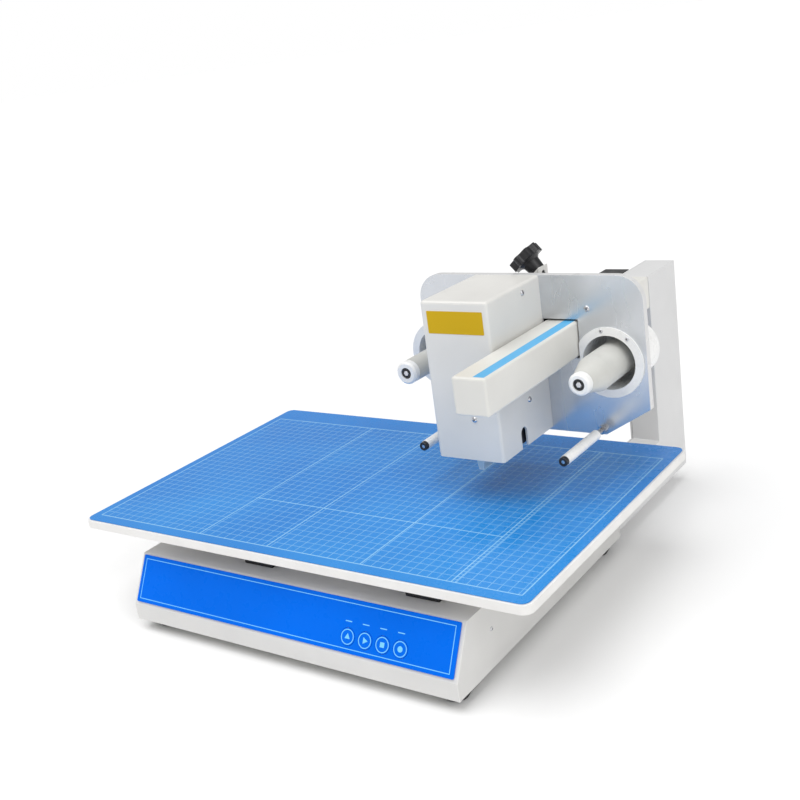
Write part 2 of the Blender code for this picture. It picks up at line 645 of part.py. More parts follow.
def make_knob():
    """The clamping knob behind the plate, leaning to the left, with its bracket."""
    lean = math.radians(KNOB_LEAN)
    along = Vector((-math.sin(lean), 0, math.cos(lean)))
    across = Vector((math.cos(lean), 0, math.sin(lean)))
    at = Vector(KNOB_AT)
    high, low = at + across * KNOB_HUB_R[0], at - across * KNOB_HUB_R[0]
    outline = [(low.x, BRACKET_LOW), (high.x, BRACKET_LOW), (high.x, high.z), (low.x, low.z)]
    bracket = extruded("knob_bracket", outline, "XZ", BRACKET_Y, WHITE_PAINT)
    foot_y = (PLATE_Y[0] + PLATE_T + GAP, BRACKET_Y[1] - 5)
    join(bracket, box("bracket_foot", (low.x + 1, high.x - 1), foot_y, (BRACKET_LOW + 1, BRACKET_FOOT_TOP)))
    cut(bracket, hole("stud", 4.4, at - along * 15, at + along * 5, 24))

    lobes = 8
    steps = 64
    rim = []
    for i in range(steps):
        angle = 2 * math.pi * i / steps
        radius = KNOB_R + KNOB_LOBE * math.cos(lobes * angle)
        rim.append((radius * math.cos(angle), radius * math.sin(angle)))
    turn = along.to_track_quat("Z", "Y").to_matrix().to_4x4()
    rim_low = KNOB_LENGTH - KNOB_T
    knob = extruded("clamp_knob", rim, "XY", (-KNOB_T / 2, KNOB_T / 2), BLACK_PLASTIC)
    knob.data.transform(Matrix.Translation((0, 0, (KNOB_LENGTH - KNOB_T / 2) * MM)))
    taper = rod("knob_taper", KNOB_HUB_R[1], (0, 0, rim_low - 3), (0, 0, rim_low + 1), sides=32,
                end_radius=KNOB_R - 2)
    hub = rod("knob_hub", KNOB_HUB_R[0], (0, 0, GAP), (0, 0, rim_low), sides=32, end_radius=KNOB_HUB_R[1])
    stud = rod("knob_stud", 4, (0, 0, -12), (0, 0, 3))
    join(knob, taper, hub, stud)
    for piece in (taper, hub, stud):
        piece.matrix_world = Matrix.Translation(at * MM) @ turn @ Matrix.Translation(piece.location)
    knob.matrix_world = Matrix.Translation(at * MM) @ turn


def main():
    make_base()
    make_front_panel()
    make_electrics()
    make_table()
    make_slide()
    make_belt_drive()
    make_frame()
    make_head_plate()
    make_carriage()
    make_cover()
    make_reels()
    make_rollers()
    make_print_head()
    make_knob()


main()
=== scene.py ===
import json
import math

import bmesh
import bpy
from mathutils import Matrix, Vector


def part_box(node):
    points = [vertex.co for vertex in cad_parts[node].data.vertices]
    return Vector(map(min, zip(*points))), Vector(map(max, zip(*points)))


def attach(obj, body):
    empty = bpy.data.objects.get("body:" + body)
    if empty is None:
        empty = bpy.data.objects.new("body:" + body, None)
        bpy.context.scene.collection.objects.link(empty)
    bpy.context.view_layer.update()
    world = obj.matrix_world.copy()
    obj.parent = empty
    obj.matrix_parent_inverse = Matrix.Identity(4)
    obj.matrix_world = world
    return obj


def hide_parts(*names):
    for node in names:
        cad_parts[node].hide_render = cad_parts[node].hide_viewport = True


# Looks of the desktop hot foil stamper. Lengths are in metres, and MM turns millimetres into them.

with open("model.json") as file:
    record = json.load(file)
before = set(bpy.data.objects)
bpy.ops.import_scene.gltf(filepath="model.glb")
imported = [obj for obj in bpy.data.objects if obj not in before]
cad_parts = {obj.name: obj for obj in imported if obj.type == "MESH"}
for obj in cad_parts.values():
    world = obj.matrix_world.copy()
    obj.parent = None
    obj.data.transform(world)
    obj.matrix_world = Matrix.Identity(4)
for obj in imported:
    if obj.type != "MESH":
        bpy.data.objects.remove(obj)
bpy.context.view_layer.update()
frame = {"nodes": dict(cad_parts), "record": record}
nodes = frame["nodes"]
MM = 0.001
WELD = 0.00001
FINE_WELD = WELD / 10
SHARP = math.radians(35)
X_AXIS = Vector((1, 0, 0))
FRONT = Vector((0, -1, 0))
RIGHT = Vector((1, 0, 0))
REAR = Vector((0, 1, 0))
UP = Vector((0, 0, 1))

# Linear colours
WHITE = (0.80, 0.80, 0.80)
COVER_WHITE = (0.76, 0.75, 0.72)
FRAME_WHITE = (0.68, 0.68, 0.68)
CREAM = (0.74, 0.73, 0.69)
PLATE_METAL = (0.66, 0.68, 0.71)
BASE_GREY = (0.69, 0.685, 0.67)
BOARD_CREAM = (0.84, 0.83, 0.81)
MAT_BLUE = (0.010, 0.205, 0.64)
MAT_LIGHT = (0.022, 0.27, 0.73)
LINE_BLUE = (0.33, 0.64, 0.90)
PANEL_BLUE = (0.0, 0.137, 0.75)
PRINT_BLUE = (0.20, 0.58, 0.93)
STRIPE_BLUE = (0.11, 0.44, 0.76)
LABEL_OCHRE = (0.62, 0.395, 0.012)
BLACK = (0.012, 0.012, 0.014)


# ---------------------------------------------------------------- materials

NOISE_LOW = 0.35
NOISE_HIGH = 0.65


class Surface:
    """A Principled material. Nodes work out its colour, roughness and bump from the object's own space."""

    def __init__(self, name, metallic=0.0, coat=0.0, coat_roughness=0.08):
        self.material = bpy.data.materials.new(name)
        self.material.use_nodes = True
        self.tree = self.material.node_tree
        self.shader = self.tree.nodes["Principled BSDF"]
        self.shader.inputs["Metallic"].default_value = metallic
        self.shader.inputs["Coat Weight"].default_value = coat
        self.shader.inputs["Coat Roughness"].default_value = coat_roughness
        self.space = self.node("ShaderNodeTexCoord").outputs["Object"]

    def node(self, kind, **settings):
        made = self.tree.nodes.new(kind)
        for key, value in settings.items():
            setattr(made, key, value)
        return made

    def feed(self, socket, value):
        if isinstance(value, bpy.types.NodeSocket):
            self.tree.links.new(value, socket)
        else:
            socket.default_value = value

    def noise(self, scale, detail=2.0, stretch=(1, 1, 1)):
        mapping = self.node("ShaderNodeMapping")
        mapping.inputs["Scale"].default_value = stretch
        self.feed(mapping.inputs["Vector"], self.space)
        texture = self.node("ShaderNodeTexNoise")
        texture.inputs["Scale"].default_value = scale
        texture.inputs["Detail"].default_value = detail
        self.feed(texture.inputs["Vector"], mapping.outputs["Vector"])
        return texture.outputs["Fac"]

    def between(self, value, low, high):
        remap = self.node("ShaderNodeMapRange")
        self.feed(remap.inputs["Value"], value)
        remap.inputs["From Min"].default_value = NOISE_LOW
        remap.inputs["From Max"].default_value = NOISE_HIGH
        remap.inputs["To Min"].default_value = low
        remap.inputs["To Max"].default_value = high
        return remap.outputs["Result"]

    def mix(self, factor, first, second):
        blend = self.node("ShaderNodeMix", data_type="RGBA")
        self.feed(blend.inputs[0], factor)
        self.feed(blend.inputs[6], first if isinstance(first, bpy.types.NodeSocket) else (*first, 1))
        self.feed(blend.inputs[7], second if isinstance(second, bpy.types.NodeSocket) else (*second, 1))
        return blend.outputs[2]

    def math(self, operation, *values):
        made = self.node("ShaderNodeMath", operation=operation)
        for socket, value in zip(made.inputs, values):
            self.feed(socket, value)
        return made.outputs[0]

    def axes(self):
        split = self.node("ShaderNodeSeparateXYZ")
        self.feed(split.inputs[0], self.space)
        return split.outputs[0], split.outputs[1], split.outputs[2]

    def color(self, value):
        self.feed(self.shader.inputs["Base Color"], value)

    def rough(self, value):
        self.feed(self.shader.inputs["Roughness"], value)

    def bump(self, height, strength, distance):
        made = self.node("ShaderNodeBump")
        made.inputs["Strength"].default_value = strength
        made.inputs["Distance"].default_value = distance
        self.feed(made.inputs["Height"], height)
        self.feed(self.shader.inputs["Normal"], made.outputs["Normal"])


def shade(color, factor):
    return tuple(min(1.0, channel * factor) for channel in color)


def painted(name, color, roughness, peel=0.12, coat=0.0, spread=0.04):
    """Sprayed or powder-coated metal: a faint cloudiness, handling marks in the gloss, and orange peel."""
    surface = Surface(name, coat=coat)
    cloud = surface.between(surface.noise(11, 3), 0, 1)
    surface.color(surface.mix(cloud, shade(color, 1 - spread), shade(color, 1 + spread)))
    surface.rough(surface.between(surface.noise(38, 4), roughness - 0.06, roughness + 0.08))
    surface.bump(surface.noise(850, 2), peel, 0.15 * MM)
    return surface.material


def moulded(name, color, roughness, grain=0.2, grain_scale=1600, coat=0.0, spread=0.12):
    """Moulded plastic or rubber: fine spark grain with a little wear in the gloss."""
    surface = Surface(name, coat=coat)
    cloud = surface.between(surface.noise(45, 3), 0, 1)
    surface.color(surface.mix(cloud, shade(color, 1 - spread), shade(color, 1 + spread)))
    surface.rough(surface.between(surface.noise(120, 4), roughness - 0.07, roughness + 0.08))
    surface.bump(surface.noise(grain_scale, 3), grain, 0.08 * MM)
    return surface.material


def machined(name, color, roughness, stretch=(1, 1, 1), scale=900, metallic=1.0, spread=0.1,
             relief=0.16):
    """Metal with tool marks drawn out along one axis, and a cloudy film over them."""
    surface = Surface(name, metallic=metallic)
    marks = surface.noise(scale, 3, stretch)
    film = surface.between(surface.noise(70, 3), 0, 1)
    surface.color(surface.mix(film, shade(color, 1 - spread), shade(color, 1 + spread)))
    surface.rough(surface.between(marks, roughness - spread, roughness + spread))
    surface.bump(marks, relief, 0.05 * MM)
    return surface.material


def printed_film(name, color, light, roughness):
    """Satin printed film with deep ink and a slow drift in its tone."""
    surface = Surface(name)
    surface.shader.inputs["Specular IOR Level"].default_value = 0.09
    drift = surface.between(surface.noise(6, 2), 0, 1)
    surface.color(surface.mix(drift, color, light))
    surface.rough(surface.between(surface.noise(90, 3), roughness - 0.05, roughness + 0.06))
    surface.bump(surface.noise(1300, 2), 0.06, 0.05 * MM)
    return surface.material


GRID = 10 * MM
THIN_LINE = 0.34 * MM
BOLD_LINE = 0.62 * MM
FRONT_MARGIN = 12.5 * MM
REAR_MARGIN = 33 * MM
SIDE_MARGIN = 10.6 * MM
RULER_W = 4 * MM
RULER_TICK = 5 * MM


def grid_film(name, low, high):
    """The table's film: a 10 mm grid inside a plain border, heavier guide lines, and one ruled strip."""
    surface = Surface(name, coat=0.2, coat_roughness=0.16)
    surface.shader.inputs["Specular IOR Level"].default_value = 0.35
    x, y, _ = surface.axes()
    left, right = low.x + SIDE_MARGIN, high.x - SIDE_MARGIN
    front, rear = low.y + FRONT_MARGIN, high.y - REAR_MARGIN
    width = right - left

    def line(value, place, half):
        return surface.math("COMPARE", value, place, half)

    def band(value, start, end):
        return surface.math("COMPARE", value, (start + end) / 2, (end - start) / 2)

    def either(*masks):
        result = masks[0]
        for mask in masks[1:]:
            result = surface.math("MAXIMUM", result, mask)
        return result

    def both(*masks):
        result = masks[0]
        for mask in masks[1:]:
            result = surface.math("MULTIPLY", result, mask)
        return result

    def repeated(value, start, pitch, half):
        steps = surface.math("DIVIDE", surface.math("SUBTRACT", value, start), pitch)
        return line(surface.math("PINGPONG", steps, 0.5), 0.0, half / pitch)

    field = both(band(x, left, right), band(y, front, rear))
    ruler_x = left + width * 0.866
    ruler = both(band(x, ruler_x, ruler_x + RULER_W), band(y, front, rear))
    fine = either(repeated(x, left, GRID, THIN_LINE), repeated(y, front, GRID, THIN_LINE))
    fine = both(fine, field, surface.math("SUBTRACT", 1.0, ruler))
    ticks = both(repeated(y, front, RULER_TICK, THIN_LINE), ruler)
    guides = [line(x, left + width * share, BOLD_LINE) for share in (0.285, 0.459, 0.677)]
    guides += [line(x, ruler_x, BOLD_LINE), line(x, ruler_x + RULER_W, THIN_LINE)]
    upright = both(either(*guides), band(y, front, rear))
    cross = both(line(y, front + 9 * GRID, BOLD_LINE), band(x, left + width * 0.285, ruler_x))
    edges = either(line(x, left, BOLD_LINE), line(x, right, BOLD_LINE))
    ends = either(line(y, front, BOLD_LINE), line(y, rear, BOLD_LINE))
    border = either(both(edges, band(y, front, rear)), both(ends, band(x, left, right)))

    ground = surface.mix(surface.between(surface.noise(5, 2), 0, 1), MAT_BLUE, MAT_LIGHT)
    faint = surface.mix(surface.math("MULTIPLY", fine, 0.62), ground, LINE_BLUE)
    bold = either(upright, cross, border, ticks)
    surface.color(surface.mix(surface.math("MULTIPLY", bold, 0.85), faint, LINE_BLUE))
    surface.rough(surface.between(surface.noise(60, 4), 0.2, 0.34))
    surface.bump(surface.noise(1200, 2), 0.05, 0.05 * MM)
    return surface.material


mat_low, mat_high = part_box("table_mat")
LOOKS = {
    "white_paint": painted("white_powder_coat", WHITE, 0.36),
    "frame_paint": painted("frame_powder_coat", FRAME_WHITE, 0.4, spread=0.015),
    "cover_paint": painted("cover_powder_coat", COVER_WHITE, 0.34),
    "base_paint": painted("base_powder_coat", BASE_GREY, 0.42),
    "beige_paint": painted("cream_paint", CREAM, 0.38, 0.08),
    "plate_paint": painted("plate_rim_paint", FRAME_WHITE, 0.3, 0.06, coat=0.3, spread=0.02),
    "plate_face": machined("satin_plate", PLATE_METAL, 0.27, (1, 1, 0.25), 30, 0.85, 0.02, 0.002),
    "blue_panel": printed_film("panel_film", PANEL_BLUE, shade(PANEL_BLUE, 1.1), 0.3),
    "panel_print": printed_film("panel_print", PRINT_BLUE, shade(PRINT_BLUE, 1.1), 0.35),
    "stripe": printed_film("arm_stripe", STRIPE_BLUE, shade(STRIPE_BLUE, 1.08), 0.35),
    "label": printed_film("blank_label", LABEL_OCHRE, shade(LABEL_OCHRE, 1.1), 0.4),
    "blue_mat": grid_film("grid_film", mat_low, mat_high),
    "board_edge": moulded("board_edge", BOARD_CREAM, 0.45, 0.1, 700, spread=0.025),
    "black_plastic": moulded("black_plastic", BLACK, 0.32),
    "white_plastic": moulded("white_plastic", (0.88, 0.88, 0.87), 0.3, 0.06, spread=0.02),
    "grey_plastic": moulded("grey_plastic", (0.60, 0.60, 0.57), 0.38, 0.1, spread=0.04),
    "rubber": moulded("rubber", (0.018, 0.018, 0.018), 0.72, 0.5, 900),
    "steel": machined("turned_steel", (0.60, 0.60, 0.62), 0.26, (1, 1, 0.05)),
    "aluminium": machined("milled_aluminium", (0.66, 0.67, 0.69), 0.36, (0.05, 1, 1)),
    "brass": machined("brass", (0.70, 0.50, 0.20), 0.34),
    "black_metal": painted("black_anodised", (0.022, 0.022, 0.025), 0.42, 0.2),
    "board_green": moulded("solder_mask", (0.02, 0.19, 0.07), 0.35, 0.1, coat=0.4),
    "ceramic": moulded("glazed_ceramic", (0.62, 0.76, 0.84), 0.16, 0.03, coat=0.5),
}
OVERRIDES = {
    "head_cover": "cover_paint", "base_shell": "base_paint", "knob_bracket": "cover_paint",
    "frame_column": "frame_paint", "frame_cover": "frame_paint", "heat_sink": "black_metal",
    "print_carriage": "black_metal", "lift_mount": "black_metal",
}


def dress_cad_nodes():
    slots = {row["node"]: row["material_slot"] for row in frame["record"]["subparts"]}
    for name, node in nodes.items():
        node.data.materials.clear()
        node.data.materials.append(LOOKS[OVERRIDES.get(name, slots[name])])


EDGE_RADII = {
    "base_shell": 0.9, "frame_column": 0.9, "frame_cover": 0.5, "head_plate": 0.7, "head_cover": 0.4,
    "table_mat": 0.25, "control_panel": 0.35, "knob_bracket": 0.8, "cable_tray": 0.5, "clamp_knob": 0.9,
    "head_carriage": 0.8, "power_entry": 0.6,
}


def soften_edges():
    """Folded and moulded edges get their small radius from modifiers, which leave the solids as they are."""
    for name, radius in EDGE_RADII.items():
        weld = nodes[name].modifiers.new("weld", "WELD")
        weld.merge_threshold = WELD
        bevel = nodes[name].modifiers.new("edge", "BEVEL")
        bevel.width = radius * MM
        bevel.segments = 3
        bevel.limit_method = "ANGLE"
        bevel.angle_limit = SHARP
        bevel.harden_normals = True


# ---------------------------------------------------------------- shapes

def finish_piece(name, bm, look, body, edge=0.0, replaces=()):
    """Turns a bmesh that is already in the frame's space into a piece that rides on a body."""
    bmesh.ops.remove_doubles(bm, verts=bm.verts, dist=FINE_WELD)
    bmesh.ops.recalc_face_normals(bm, faces=bm.faces)
    mesh = bpy.data.meshes.new(name)
    bm.to_mesh(mesh)
    bm.free()
    mesh.shade_smooth()
    mesh.set_sharp_from_angle(angle=SHARP)
    mesh.materials.append(LOOKS[look])
    piece = bpy.data.objects.new(name, mesh)
    bpy.context.scene.collection.objects.link(piece)
    if edge:
        bevel = piece.modifiers.new("edge", "BEVEL")
        bevel.width = edge * MM
        bevel.segments = 2
        bevel.limit_method = "ANGLE"
    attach(piece, body)
    if replaces:
        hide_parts(*replaces)


def facing(at, normal, up=UP):
    """A placement at a point, with local Z along the normal and local Y as near to up as it can be."""
    z = Vector(normal).normalized()
    x = Vector(up).cross(z)
    if x.length < 0.01:
        x = Vector(X_AXIS)
    x.normalize()
    turn = Matrix((x, z.cross(x), z)).transposed().to_4x4()
    return Matrix.Translation(at) @ turn


def add_slab(bm, outline, thickness, place):
    """A flat outline in millimetres, thickened along local Z, added to a bmesh."""
    rings = []
    for height in (0, thickness):
        rings.append([bm.verts.new(place @ (Vector((a, b, height)) * MM)) for a, b in outline])
    bm.faces.new(list(reversed(rings[0])))
    bm.faces.new(rings[1])
    count = len(outline)
    for i in range(count):
        j = (i + 1) % count
        bm.faces.new((rings[0][i], rings[0][j], rings[1][j], rings[1][i]))


def add_turned(bm, profile, place, steps=40):
    """A turned body from (radius, height) points in millimetres, closed on the axis or on itself."""
    rings = []
    for radius, height in profile:
        if radius == 0:
            rings.append([bm.verts.new(place @ Vector((0, 0, height * MM)))])
            continue
        ring = []
        for i in range(steps):
            angle = 2 * math.pi * i / steps
            spot = Vector((radius * math.cos(angle), radius * math.sin(angle), height))
            ring.append(bm.verts.new(place @ (spot * MM)))
        rings.append(ring)
    pairs = list(zip(rings, rings[1:]))
    if profile[0][0] and profile[-1][0]:
        pairs.append((rings[-1], rings[0]))
    for low, high in pairs:
        for i in range(steps):
            j = (i + 1) % steps
            corners = [low[i % len(low)], low[j % len(low)], high[j % len(high)], high[i % len(high)]]
            bm.faces.new(list(dict.fromkeys(corners)))


CORNER_STEPS = 5


def rectangle(width, height, radius=0.0, at=(0, 0)):
    """A rectangle outline about a point, with rounded corners if a radius is given."""
    x, y = width / 2 - radius, height / 2 - radius
    if not radius:
        return [(at[0] + sx * x, at[1] + sy * y) for sx, sy in ((-1, -1), (1, -1), (1, 1), (-1, 1))]
    outline = []
    for (cx, cy), turn in zip(((x, -y), (x, y), (-x, y), (-x, -y)), (-90, 0, 90, 180)):
        for i in range(CORNER_STEPS + 1):
            angle = math.radians(turn + 90 * i / CORNER_STEPS)
            outline.append((at[0] + cx + radius * math.cos(angle), at[1] + cy + radius * math.sin(angle)))
    return outline


def disc(radius, sides=32, turn=0.0):
    angles = [2 * math.pi * (i + turn) / sides for i in range(sides)]
    return [(radius * math.cos(a), radius * math.sin(a)) for a in angles]


def slab(name, outline, thickness, place, look, body, edge=0.0):
    bm = bmesh.new()
    add_slab(bm, outline, thickness, place)
    finish_piece(name, bm, look, body, edge)


def turned(name, profile, place, look, body, steps=40):
    bm = bmesh.new()
    add_turned(bm, profile, place, steps)
    finish_piece(name, bm, look, body)


SCREW_HEAD = ((0, 0.55), (0.7, 0.55), (0.75, 1.25), (1.5, 1.1), (2.1, 0.7), (2.4, 0.0), (0, 0.0))


def pan_screw(name, at, normal, body, size=1.0):
    """A pan-head screw with a dished drive recess, and a cross of two black slabs in its floor as painted
    shade for the cross slots.
    """
    place = facing(Vector(at), normal)
    turned(name, [(r * size, h * size) for r, h in SCREW_HEAD], place, "steel", body, 28)
    # Painted shade: two black slabs stand in for the shade inside the screw's cross recess.
    bm = bmesh.new()
    for across, along in ((1.5, 0.4), (0.4, 1.5)):
        add_slab(bm, rectangle(across * size * 1.3, along * size), 0.62 * size, place)
    finish_piece(name + "_drive_shade", bm, "black_metal", body)


# ---------------------------------------------------------------- front panel

def panel_place():
    """The middle of the sloped panel's outer face, with local Y up the slope."""
    panel = nodes["control_panel"].data
    outer = max((p for p in panel.polygons if p.normal.y < -0.5), key=lambda p: p.area)
    normal = outer.normal.copy()
    up_slope = normal.cross(X_AXIS)
    low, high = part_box("control_panel")
    middle = (low + high) / 2
    on_face = Vector(outer.center)
    middle += normal * (on_face - middle).dot(normal)
    return facing(middle, normal, up_slope), high.x - low.x


BORDER_IN = 4.5
BORDER_W = 0.7
PRINT_T = 0.12
KEY_RING = ((7.1, 0.0), (7.1, 0.14), (6.3, 0.14), (6.3, 0.0))
MARK_R = 3.4
MARK_T = 0.14
MARK_UP = 0.2
KEY_MARKS = (disc(MARK_R, 3, 0.75), disc(MARK_R, 3), rectangle(4.6, 4.6), disc(2.7))
INDICATOR = (7.5, 0.9, 0.4)
INDICATOR_UP = 14


def make_panel_print():
    place, width = panel_place()
    low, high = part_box("control_panel")
    tall = math.hypot(high.y - low.y, high.z - low.z) / MM
    half_w, half_h = width / MM / 2 - BORDER_IN, tall / 2 - BORDER_IN
    bm = bmesh.new()
    for sign in (-1, 1):
        add_slab(bm, rectangle(2 * half_w + BORDER_W, BORDER_W, at=(0, sign * half_h)), PRINT_T, place)
        add_slab(bm, rectangle(BORDER_W, 2 * half_h - BORDER_W, at=(sign * half_w, 0)), PRINT_T, place)
    finish_piece("panel_border", bm, "panel_print", "base")

    inverse = place.inverted()
    bm = bmesh.new()
    for number, mark in enumerate(KEY_MARKS, 1):
        low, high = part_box(f"key_{number}")
        centre = inverse @ ((low + high) / 2)
        key = place @ Matrix.Translation((centre.x, centre.y, MARK_UP * MM))
        turned(f"key_{number}_ring", KEY_RING, key, "panel_print", f"key_{number}", 48)
        slab(f"key_{number}_mark", mark, MARK_T, key, "panel_print", f"key_{number}")
        spot = (centre.x / MM - 1, centre.y / MM + INDICATOR_UP)
        add_slab(bm, rectangle(*INDICATOR, spot), PRINT_T, place)
    finish_piece("indicator_marks", bm, "panel_print", "base")


# ---------------------------------------------------------------- head and arm

STRIPE_START = 3
STRIPE_SHORT = 70
STRIPE_W = 11
STRIPE_T = 0.15
STRIPE_OFF = 9


def make_arm_stripe():
    low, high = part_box("arm_beam")
    front, rear = low.y + STRIPE_START * MM, high.y - STRIPE_SHORT * MM
    place = Matrix.Translation(((low.x + high.x) / 2 + STRIPE_OFF * MM, (front + rear) / 2, high.z))
    outline = rectangle(STRIPE_W, (rear - front) / MM)
    slab("arm_stripe", outline, STRIPE_T, place, "stripe", "base")


FACE_GAP = 0.05
FACE_T = 0.25


def make_plate_face():
    """The satin metal sheet that covers the plate's front, with the plate's own outline."""
    bm = bmesh.new()
    bm.from_mesh(nodes["head_plate"].data)
    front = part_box("head_plate")[0].y
    bmesh.ops.remove_doubles(bm, verts=bm.verts, dist=WELD)
    spare = [f for f in bm.faces if f.normal.y > -0.99 or f.calc_center_median().y > front + 0.2 * MM]
    bmesh.ops.delete(bm, geom=spare, context="FACES")
    bmesh.ops.dissolve_limit(bm, angle_limit=math.radians(1), verts=bm.verts, edges=bm.edges)
    bmesh.ops.translate(bm, vec=(0, -FACE_GAP * MM, 0), verts=bm.verts)
    raised = bmesh.ops.extrude_face_region(bm, geom=list(bm.faces))
    moved = [v for v in raised["geom"] if isinstance(v, bmesh.types.BMVert)]
    bmesh.ops.translate(bm, vec=(0, -FACE_T * MM, 0), verts=moved)
    finish_piece("plate_face", bm, "plate_face", "head", 0.08)


LABEL = (61, 22, 0.8)
LABEL_OFF = 0.5
LABEL_DOWN = 20.5


def make_cover_label():
    low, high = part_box("head_cover")
    at = Vector(((low.x + high.x) / 2 + LABEL_OFF * MM, low.y, high.z - LABEL_DOWN * MM))
    place = facing(at, FRONT)
    slab("cover_label", rectangle(*LABEL), 0.25, place, "label", "head", 0.08)


RING_SCREW_R = 32.2


def make_screws():
    low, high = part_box("head_cover")
    pan_screw("cover_screw_front", (low.x + 46 * MM, low.y, low.z + 42 * MM), FRONT, "head", 1.2)
    pan_screw("cover_screw_upper", (high.x, high.y - 35 * MM, high.z - 9 * MM), RIGHT, "head", 1.25)
    pan_screw("cover_screw_lower", (high.x, high.y - 42 * MM, low.z + 44 * MM), RIGHT, "head", 1.25)
    plate_low, plate_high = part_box("head_plate")
    at = (plate_low.x + 191 * MM, plate_low.y, plate_high.z - 33 * MM)
    pan_screw("plate_screw", at, FRONT, "head", 1.35)
    ring_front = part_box("supply_cup")[0].y
    spindle_low, spindle_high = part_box("supply_spindle")
    centre = (spindle_low + spindle_high) / 2
    for number, angle in enumerate((100, 50), 1):
        turn = math.radians(angle)
        across, above = RING_SCREW_R * MM * math.cos(turn), RING_SCREW_R * MM * math.sin(turn)
        at = (centre.x + across, ring_front, centre.z + above)
        pan_screw(f"supply_ring_screw_{number}", at, FRONT, "head", 0.85)
    low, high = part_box("base_shell")
    for number, y in enumerate((low.y + 62 * MM, high.y - 40 * MM), 1):
        pan_screw(f"base_screw_right_{number}", (high.x, y, low.z + 38 * MM), RIGHT, "base", 0.9)
        pan_screw(f"base_screw_left_{number}", (low.x, y, low.z + 38 * MM), -RIGHT, "base", 0.9)


NOSE_IN = 3
NOSE_BOLT = 2.9
NOSE_RING = ((5.75, 0.0), (5.75, 1.9), (5.2, 2.4), (3.5, 2.4), (3.3, 1.6), (3.3, 0.0))


def make_reel_noses():
    """The dark ring and the bolt in the nose of each foil spindle."""
    for side in ("takeup", "supply"):
        low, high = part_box(f"{side}_cap")
        at = Vector(((low.x + high.x) / 2, low.y + NOSE_IN * MM, (low.z + high.z) / 2))
        place = facing(at, FRONT)
        body = f"{side}_reel"
        turned(f"{side}_nose_ring", NOSE_RING, place, "black_plastic", body)
        bm = bmesh.new()
        add_slab(bm, disc(NOSE_BOLT, 6), NOSE_BOLT, place)
        finish_piece(f"{side}_nose_bolt", bm, "steel", body, 0.25)


ROLLER_RING = ((4.6, -0.2), (4.6, 0.3), (2.9, 0.3), (2.9, -0.2))
ROLLER_CAP = ((4.5, 0.5), (4.5, 3.7), (4.1, 4.2), (1.9, 4.2), (1.9, 3.85), (3.85, 3.85), (3.85, 0.5))


def make_roller_ends():
    for side in ("left", "right"):
        low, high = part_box(f"roller_{side}")
        place = facing(Vector(((low.x + high.x) / 2, low.y, (low.z + high.z) / 2)), FRONT)
        body = f"roller_{side}"
        turned(f"roller_{side}_bearing", ROLLER_RING, place, "black_plastic", body)
        turned(f"roller_{side}_end_cap", ROLLER_CAP, place, "black_plastic", "head")


# Painted shade: a black folded sheet stands where the cover's notch is only in shade.
SHADE_SHEET_TALL = 30
SHADE_SHEET = ((0, -20), (3.1, -20), (3.1, -19.2), (0.8, -19.2), (0.8, 19.2), (3.1, 19.2), (3.1, 20), (0, 20))


def make_notch_shade_sheet():
    """A dark folded sheet between the cover's notch and the heat sink, which slides behind it: painted shade
    that keeps the inside of the notch dark.
    """
    low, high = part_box("head_cover")
    at = Vector((high.x - 5.7 * MM, low.y + 43 * MM, low.z + 2 * MM))
    slab("notch_shade_sheet", SHADE_SHEET, SHADE_SHEET_TALL, Matrix.Translation(at), "black_metal", "head")


# ---------------------------------------------------------------- drives

THREAD_SIDES = 20
THREAD_STEPS = 6


def add_thread(bm, place, radius, depth, pitch, length):
    """A bar of the given length with a helical thread cut into it, closed at both ends."""
    count = round(length / pitch * THREAD_STEPS)
    rings = []
    for k in range(count + 1):
        height = length * k / count
        ring = []
        for i in range(THREAD_SIDES):
            share = i / THREAD_SIDES
            phase = (height / pitch - share) % 1
            r = radius - depth * (0.5 + 0.5 * math.cos(2 * math.pi * phase))
            angle = 2 * math.pi * share
            spot = Vector((r * math.cos(angle), r * math.sin(angle), height))
            ring.append(bm.verts.new(place @ (spot * MM)))
        rings.append(ring)
    for low, high in zip(rings, rings[1:]):
        for i in range(THREAD_SIDES):
            j = (i + 1) % THREAD_SIDES
            bm.faces.new((low[i], low[j], high[j], high[i]))
    bm.faces.new(list(reversed(rings[0])))
    bm.faces.new(rings[-1])


ARM_JOURNAL = 19
LIFT_JOURNAL = 22


def make_screw_threads():
    low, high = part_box("arm_screw")
    centre = (low + high) / 2
    place = facing(Vector((centre.x, high.y - ARM_JOURNAL * MM, centre.z)), FRONT)
    bm = bmesh.new()
    add_thread(bm, place, 4, 0.7, 5, (high.y - low.y) / MM - ARM_JOURNAL)
    add_turned(bm, ((0, -ARM_JOURNAL), (2.5, -ARM_JOURNAL), (2.5, 0.5), (0, 0.5)), place, 24)
    finish_piece("arm_leadscrew", bm, "steel", "arm_screw", replaces=("arm_screw",))
    low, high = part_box("lift_screw")
    centre = (low + high) / 2
    place = Matrix.Translation((centre.x, centre.y, low.z))
    bm = bmesh.new()
    add_thread(bm, place, 3.5, 0.6, 4, (high.z - low.z) / MM - LIFT_JOURNAL)
    add_turned(bm, ((0, 125.9), (2.5, 125.9), (2.5, 103.5), (0, 103.5)), place, 24)
    finish_piece("lift_leadscrew", bm, "steel", "lift_screw", replaces=("lift_screw",))


BELT_T = 1.5
BELT_TOOTH = 0.7
BELT_PITCH = 2.0


